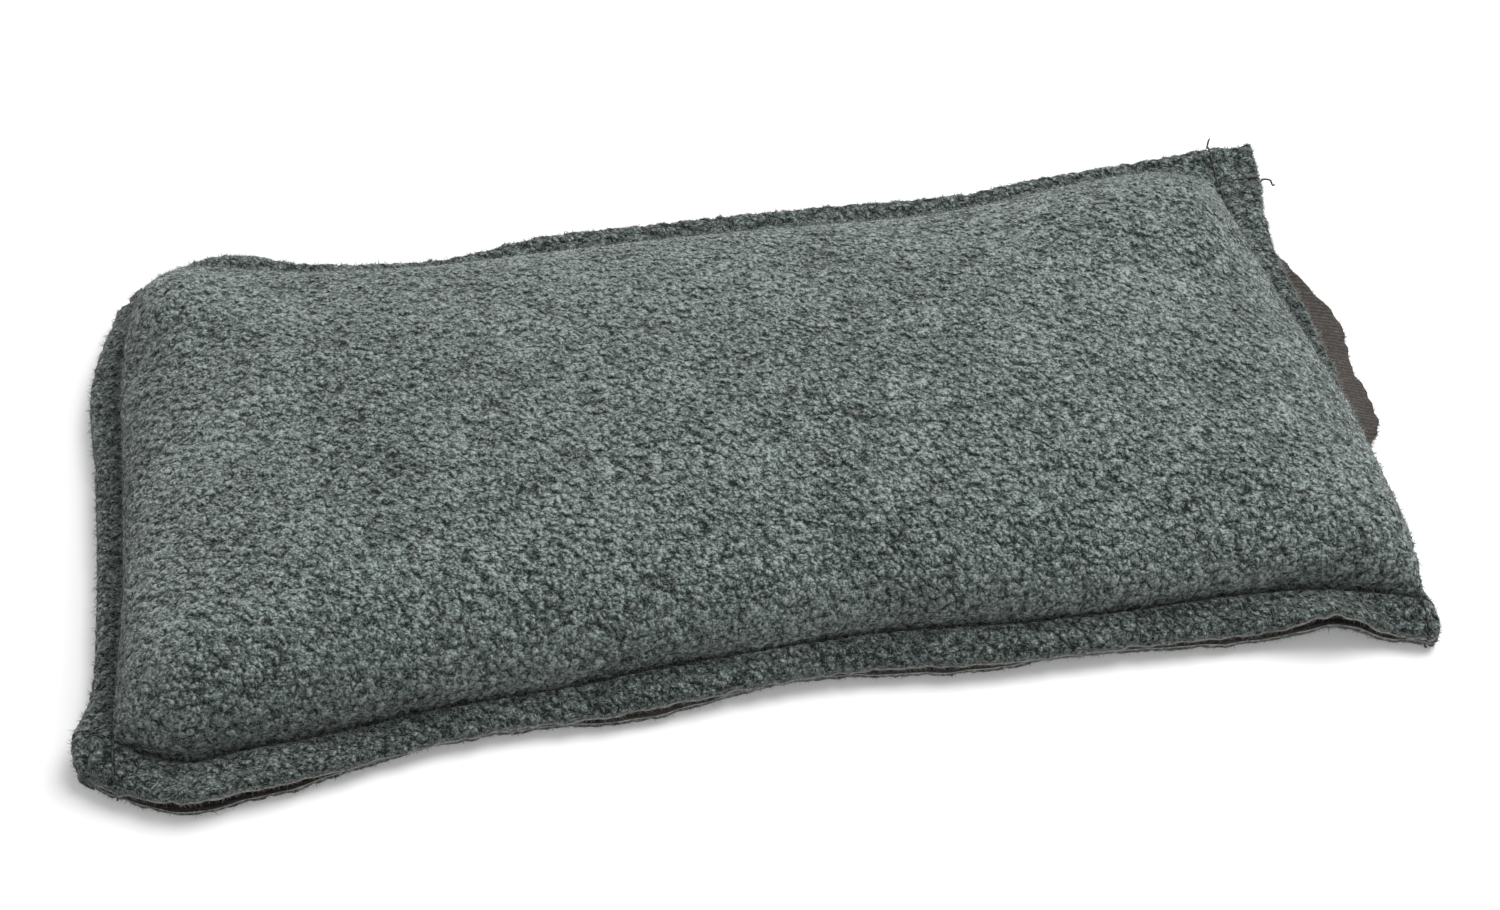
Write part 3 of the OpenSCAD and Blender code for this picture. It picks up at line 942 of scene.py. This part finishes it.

# DEEP and TIP are the pile's darkest and palest colours; where the tufts drive them they act as painted
# shade in the valleys and painted highlight on the tips
DEEP = (0.014, 0.019, 0.018, 1.0)
MIDDLE = (0.106, 0.136, 0.127, 1.0)
TIP = (0.37, 0.43, 0.405, 1.0)
KNIT_BROWN = (0.052, 0.046, 0.042, 1.0)
CUT_PALE = (0.46, 0.45, 0.42, 1.0)


def ramp(tree, value, *stops):
    made = tree.nodes.new("ShaderNodeValToRGB")
    points = made.color_ramp.elements
    while len(points) < len(stops):
        points.new(0.5)
    for point, (place, colour) in zip(points, stops):
        point.position = place
        point.color = colour
    tree.links.new(value.socket, made.inputs[0])
    return Wire(tree, made.outputs[0])


def attribute(tree, name):
    return node(tree, "ShaderNodeAttribute", {"attribute_name": name}, out="Fac")


def tuft_pattern(tree, place, per_metre):
    """Soft tufts combed one way, some parted by a valley: about 0 in a valley and 1 on a tuft."""
    drift = noise(tree, place, 560.0, out="Color")
    place = node(tree, "ShaderNodeVectorMath", {"operation": "MULTIPLY_ADD"}, {
        0: drift, 1: (0.0026, 0.0026, 0.0026), 2: place})
    combed = node(tree, "ShaderNodeVectorRotate", {"rotation_type": "Z_AXIS"}, {
        "Vector": place, "Angle": 0.75})
    combed = node(tree, "ShaderNodeVectorMath", {"operation": "MULTIPLY"}, {
        0: combed, 1: (0.74, 1.2, 1.1)})
    lump = node(tree, "ShaderNodeTexVoronoi", {"feature": "SMOOTH_F1"}, {
        "Vector": combed, "Scale": per_metre, "Smoothness": 0.5})
    edge = node(tree, "ShaderNodeTexVoronoi", {"feature": "DISTANCE_TO_EDGE"}, {
        "Vector": combed, "Scale": per_metre})
    open_here = noise(tree, place, 420.0, 1.0)
    valley = (1 - (edge * 3.4).limited()) * (open_here * 3.5 - 1.25).limited()
    return ((1 - lump * lump * 1.8) * 0.9 - valley * 0.36 + 0.18).limited()


def pile_surface(name):
    """Brushed heather pile, a dark ground with fine fibres combed one way, and tufts painted pale on
    their tips as highlight and dark in their valleys as shade.
    """
    material, tree = new_material(name)
    place = own_place(tree)
    tuft = tuft_pattern(tree, place, 1000 / TUFT)
    fibre = noise(tree, stretched(tree, (0, 0, 0.6), (1300, 3200, 3200)), 1.0, 2.0, 0.6)
    fluff = noise(tree, stretched(tree, (0, 0, -0.4), (1500, 1100, 1300)), 1.0, 3.0, 0.65)
    patch = noise(tree, place, 60.0)
    speck = noise(tree, place, 2300.0, 1.0)
    # The tuft term lightens the tufts' tips and darkens the valleys between them as painted highlight
    # and shade; the fibre, fluff, patch and speck noises are the heather's own tone
    tone = (tuft - 0.5) * 0.6 + (fibre - 0.5) * 1.15 + (fluff - 0.5) * 2.0 + (patch - 0.5) * 0.45 + 0.44
    # The pressed mark darkens the colour: partly real flattened pile, partly painted shade in the seam
    # channels and on the margins
    tone = tone + (speck - 0.5) * 1.2 - attribute(tree, "pressed") * 0.4
    return finished(material, {
        "Base Color": ramp(tree, tone.limited(), (0.0, DEEP), (0.46, MIDDLE), (1.0, TIP)),
        "Normal": bumped(tree, tuft * 0.9 + fibre * 0.3 + fluff * 0.9, 0.9, 0.0006),
        "Roughness": 0.95, "Specular IOR Level": 0.15, "Sheen Weight": 0.5, "Sheen Roughness": 0.4})


def knit_surface():
    """Fine knitted ribs, dark brown and without pile."""
    material, tree = new_material("fleece_knit_side")
    place = own_place(tree)
    ribs = node(tree, "ShaderNodeTexWave", {"bands_direction": "Y"}, {
        "Vector": place, "Scale": 380.0, "Distortion": 1.5, "Detail": 1.0, "Detail Scale": 2.0})
    loops = noise(tree, place, 1500.0)
    dark, pale = shade_of(KNIT_BROWN, 0.5), shade_of(KNIT_BROWN, 2.0)
    tone = (ribs * 0.2 + loops * 0.8).limited()
    return finished(material, {
        "Base Color": ramp(tree, tone, (0.2, dark), (0.5, KNIT_BROWN), (0.8, pale)),
        "Normal": bumped(tree, ribs * 0.5 + loops, 0.6, 0.0003),
        "Roughness": 0.85, "Specular IOR Level": 0.2})


def cut_surface():
    """The cut: pile fibres above, and the pale ends of the cut yarns at the knit side."""
    material, tree = new_material("fleece_cut_edge")
    ends = noise(tree, own_place(tree), 1300.0)
    worn = noise(tree, own_place(tree), 55.0)
    depth = attribute(tree, "outer")
    pale = ((0.42 - depth) * 6 + (ends - 0.5) * 2.5 + (worn - 0.5) * 2.5).limited()
    wool = ramp(tree, ends, (0.3, DEEP), (0.5, MIDDLE), (0.75, TIP))
    return finished(material, {
        "Base Color": mixed(tree, pale, wool, CUT_PALE), "Normal": bumped(tree, ends, 0.8, 0.0004),
        "Roughness": 0.95, "Specular IOR Level": 0.1})


for material in (pile_surface("fleece_pile_side"), knit_surface(), cut_surface()):
    mesh.materials.append(material)

# The brushing leaves the pile in rounded tufts
rule = Rule("raise_pile", {"Tuft size": TUFT * MM, "Pile depth": PILE_DEPTH * MM})
height = tuft_pattern(rule.tree, rule.add("GeometryNodeInputPosition"), 1 / rule.size["Tuft size"])
outer = rule.add("GeometryNodeInputNamedAttribute", {"data_type": "FLOAT"}, {"Name": "outer"})
flat = rule.add("GeometryNodeInputNamedAttribute", {"data_type": "FLOAT"}, {"Name": "pressed"})
move = (height - 0.7) * rule.size["Pile depth"] * outer * (1 - flat * flat * 0.85)
offset = rule.add("ShaderNodeVectorMath", {"operation": "SCALE"}, {
    0: rule.add("GeometryNodeInputNormal"), "Scale": move})
raised = rule.add("GeometryNodeSetPosition", {}, {"Geometry": rule.start, "Offset": offset})
named = rule.add("GeometryNodeStoreNamedAttribute", {"data_type": "FLOAT", "domain": "POINT"}, {
    "Geometry": raised, "Name": "pile", "Value": height})
rule.finish(named)
smooth_cover, cover = cover, rule.run(cover, "fleece_cover_cloth")
drop(smooth_cover)
cover.name = "fleece_cover_cloth"
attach(cover, "root")
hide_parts("fleece_cover")

# Loose fibres stand up from the pile and fray from the cut edges
FIBRE_PALE = (0.24, 0.27, 0.26, 1.0)
FRAY_PALE = (0.33, 0.34, 0.32, 1.0)
FIBRE_ROOT = 0.15


def fibre_shape(length, thickness):
    root = [(thickness * math.cos(a), thickness * math.sin(a), -FIBRE_ROOT) for a in (0, 2.1, 4.2)]
    faces = [(0, 2, 1), (0, 1, 3), (1, 2, 3), (2, 0, 3)]
    return new_piece("fibre", root + [(0, 0, length)], faces, [])


def rim_share(rule):
    """More fibres stand free round the rim of the pad than on its middle."""
    split = rule.add("ShaderNodeSeparateXYZ", {}, {0: rule.add("GeometryNodeInputPosition")}).socket.node
    near = [((Wire(rule.tree, split.outputs[axis]) / MM - middle[axis]) / halves[axis]).maths("ABSOLUTE")
            for axis in (0, 1)]
    near_ends, near_sides = ((near[0] - 0.88) * 12).limited(), ((near[1] - 0.78) * 8).limited()
    return 0.4 + 2.2 * near_ends.maths("MAXIMUM", near_sides)


def grown_fibres(name, kind, per_square_mm, length, thickness, tilt, material, seed_number):
    """Fibres over the faces of one kind: 0 the pile, 2 the cut edge."""
    shape = fibre_shape(length, thickness)
    rule = Rule(name, {"Fibres per square metre": per_square_mm * 1e6, "Tilt": tilt})
    index = rule.add("GeometryNodeInputMaterialIndex")
    high = rule.add("ShaderNodeSeparateXYZ", {}, {0: rule.add("GeometryNodeInputPosition")}, out=2)
    chosen = index.maths("COMPARE", kind, 0.4) * high.maths("GREATER_THAN", 1.8 * MM)
    spots = rule.add("GeometryNodeDistributePointsOnFaces", {"distribute_method": "RANDOM"}, {
        "Mesh": rule.start, "Density": rule.size["Fibres per square metre"] * rim_share(rule),
        "Selection": chosen, "Seed": seed_number})
    upright = leaning(rule, spots, rule.size["Tilt"], seed_number + 1)
    size = rule.add("FunctionNodeRandomValue", {"data_type": "FLOAT"}, {
        2: 0.4, 3: 1.3, "Seed": seed_number + 2}, out=1)
    one = rule.add("GeometryNodeObjectInfo", {}, {"Object": shape}, out="Geometry")
    grown = rule.add("GeometryNodeInstanceOnPoints", {}, {
        "Points": spots, "Instance": one, "Rotation": upright, "Scale": size})
    rule.end(grown, material)
    made = rule.run(cover, name)
    drop(shape)
    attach(made, "root")


def fibre_material(name, colour):
    material, tree = new_material(name)
    mix = (noise(tree, own_place(tree), 700.0) * 1.6 - 0.3).limited()
    return finished(material, {
        "Base Color": mixed(tree, mix, shade_of(colour, 0.35), colour),
        "Roughness": 0.9, "Specular IOR Level": 0.1, "Sheen Weight": 0.3})


grown_fibres("fleece_fuzz", 0, per_square_mm=0.6, length=1.3, thickness=0.07, tilt=1.25,
             material=fibre_material("loose_fibres", FIBRE_PALE), seed_number=11)
grown_fibres("fleece_fraying", 2, per_square_mm=5.5, length=0.9, thickness=0.06, tilt=1.0,
             material=fibre_material("frayed_fibres", FRAY_PALE), seed_number=21)

# ------------------------------------------------------------
# The cover's threads
# Black polyester in a lockstitch, four straight seams through both layers. Each seam runs off the
# edges of the cloth, so the seams cross near the corners and leave short tails.

STITCH, THREAD = 3.0, 0.4
# The thread tails: points along each, in mm from the edge of the cloth, and how much they curl
TAIL, TAIL_BEND = (0.8, 1.6, 2.4, 3.0), -0.12
THREAD_BLACK = (0.018, 0.019, 0.020, 1.0)
black_thread = thread_material("black_thread", THREAD_BLACK, 0.5)
row_marks = np.concatenate([[0], np.cumsum(strip_steps)])
column_marks = np.concatenate([[0], np.cumsum(across_steps)])
lower_right, lower_left, upper_left, upper_right = row_marks[strip_seams]
at_front, at_back = column_marks[across_seams]
first_upper, last_lower = row_marks[first_upper_ring], row_marks[rows_lower - 1]
seam_lines = {
    "front_seam_needle_thread": (outside[first_upper:, at_front], 1, 0.4),
    "back_seam_needle_thread": (outside[first_upper:, at_back], 1, 0.9),
    "left_seam_needle_thread": (outside[upper_left], 1, 1.3),
    "right_seam_needle_thread": (outside[upper_right], 1, 1.3),
    "front_seam_bobbin_thread": (outside[:last_lower + 1, at_front][::-1], -1, 0.4),
    "back_seam_bobbin_thread": (outside[:last_lower + 1, at_back][::-1], -1, 0.4),
    "left_seam_bobbin_thread": (outside[lower_left], -1, 1.3),
    "right_seam_bobbin_thread": (outside[lower_right], -1, 1.3),
}
for name, (line, layer, proud) in seam_lines.items():
    line = line[::2] + np.array([0, 0, layer * THREAD * proud])
    if name in ("back_seam_needle_thread", "right_seam_needle_thread"):
        ahead = line[-1] - line[-4]
        ahead[2] = 0
        ahead /= np.linalg.norm(ahead)
        side = np.array([-ahead[1], ahead[0], 0])
        line = np.concatenate([line] + [[line[-1] + ahead * k + side * TAIL_BEND * k**2] for k in TAIL])
    sewn_thread(name, line, STITCH, THREAD, layer * SQUEEZED, black_thread)
